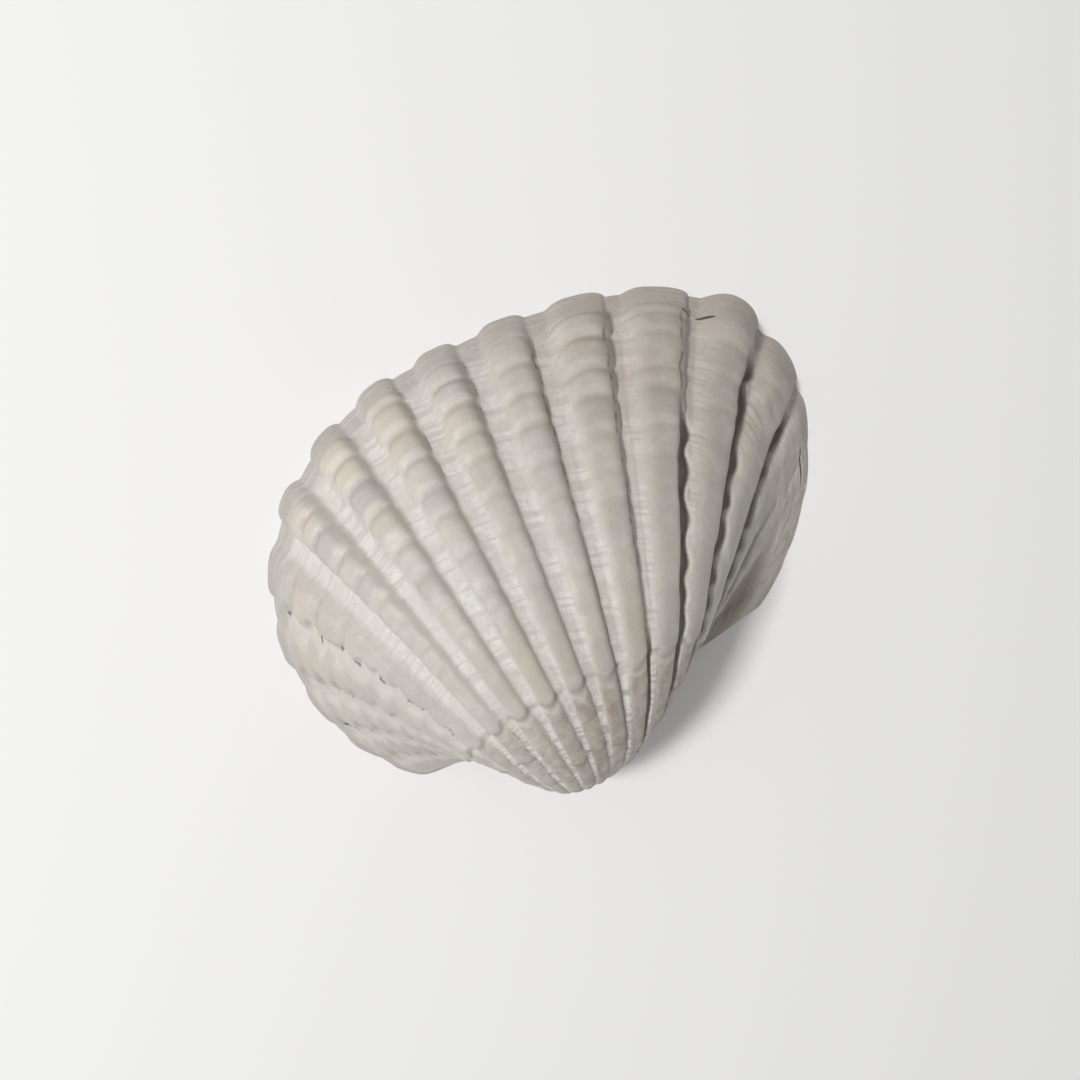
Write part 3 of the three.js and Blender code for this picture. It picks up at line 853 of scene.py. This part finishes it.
def shell_finish():
    """Weathered shell lime: the colours laid over each other in turn, then gloss and fine roughness."""
    f = Finish("shell_lime")
    s = ShellMap(f)
    colour = rib_colour(f, s)
    outside = (space_colour, lip_shade_and_wear_colour, right_end_colour, edge_colour, gap_colour, scale_and_slit_shade_colour)
    for layer in (*outside, hollow_colour):
        colour = layer(f, s, colour)
    f.feed(f.shader.inputs["Base Color"], colour)
    f.feed(f.shader.inputs["Roughness"], 0.36 + 0.3 * s.cloud - 0.12 * s.inside + 0.1 * s.between)
    f.shader.inputs["Specular IOR Level"].default_value = 0.4

    rough = f.bump(s.ladder * s.middle * s.outside, WEAR_DEPTH)
    rough = f.bump(s.lines * (0.2 + s.lip) * s.outside, WEAR_DEPTH, rough)
    rough = f.bump(s.mottle * s.old * s.outside, WEAR_DEPTH, rough)
    rough = f.bump(s.grain * s.outside, GRAIN_DEPTH, rough)
    f.feed(f.shader.inputs["Normal"], rough)
    return f.material


def floor_finish():
    """Plain pale studio floor with a hardly visible mottling."""
    f = Finish("studio_floor")
    place = f.node("ShaderNodeTexCoord").outputs["Object"]
    soft = f.noise(place, 3.0)
    f.feed(f.shader.inputs["Base Color"], f.mix(soft, (0.92, 0.92, 0.92, 1), (0.94, 0.94, 0.94, 1)))
    f.shader.inputs["Roughness"].default_value = 0.9
    return f.material


def view_basis():
    """Right, up and back directions of the view from its azimuth, elevation and roll."""
    back = np.array([
        math.cos(VIEW_ELEVATION) * math.cos(VIEW_AZIMUTH),
        math.cos(VIEW_ELEVATION) * math.sin(VIEW_AZIMUTH),
        math.sin(VIEW_ELEVATION),
    ])
    level_up = np.array([0, 0, 1]) - back[2] * back
    level_up /= np.linalg.norm(level_up)
    level_right = np.cross(level_up, back)
    right = math.cos(VIEW_ROLL) * level_right + math.sin(VIEW_ROLL) * level_up
    return right, np.cross(back, right), back


def add_camera():
    """Camera at the photo's viewing angle, at a set distance from the point it aims at."""
    right, up, back = view_basis()
    data = bpy.data.cameras.new("view")
    data.lens = LENS
    data.sensor_width = SENSOR
    data.clip_start = 0.01
    camera = bpy.data.objects.new("view", data)
    turn = Matrix((right, up, back)).transposed().to_4x4()
    spot = (AIM - UNDER_MIDDLE + VIEW_DISTANCE * back) * MM
    camera.matrix_world = Matrix.Translation(Vector(spot)) @ turn
    bpy.context.collection.objects.link(camera)
    bpy.context.scene.camera = camera


def add_key_light():
    """Square soft light in a direction from the object's middle, facing it."""
    data = bpy.data.lights.new("key", "AREA")
    data.size = KEY_SIZE
    data.energy = KEY_POWER
    light = bpy.data.objects.new("key", data)
    away = Vector(KEY_DIRECTION).normalized()
    turn = away.to_track_quat("Z", "Y").to_matrix().to_4x4()
    light.matrix_world = Matrix.Translation(away * KEY_DISTANCE) @ turn
    bpy.context.collection.objects.link(light)


def add_studio():
    """Pale floor, even light from all sides and one soft key light."""
    mesh = bpy.data.meshes.new("floor")
    corners = [(x * FLOOR_REACH, y * FLOOR_REACH, 0) for x, y in ((-1, -1), (1, -1), (1, 1), (-1, 1))]
    mesh.from_pydata(corners, [], [(0, 1, 2, 3)])
    floor = bpy.data.objects.new("floor", mesh)
    floor.data.materials.append(floor_finish())
    bpy.context.collection.objects.link(floor)
    world = bpy.data.worlds.new("studio")
    world.use_nodes = True
    sky = world.node_tree.nodes["Background"]
    sky.inputs["Color"].default_value = SKY_COLOUR
    sky.inputs["Strength"].default_value = SKY_STRENGTH
    bpy.context.scene.world = world
    add_key_light()
    bpy.context.scene.view_settings.view_transform = "Standard"


add_camera()
add_studio()
valve = build_valve()
valve.data.materials.append(shell_finish())
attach(valve, "root")
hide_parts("valve")
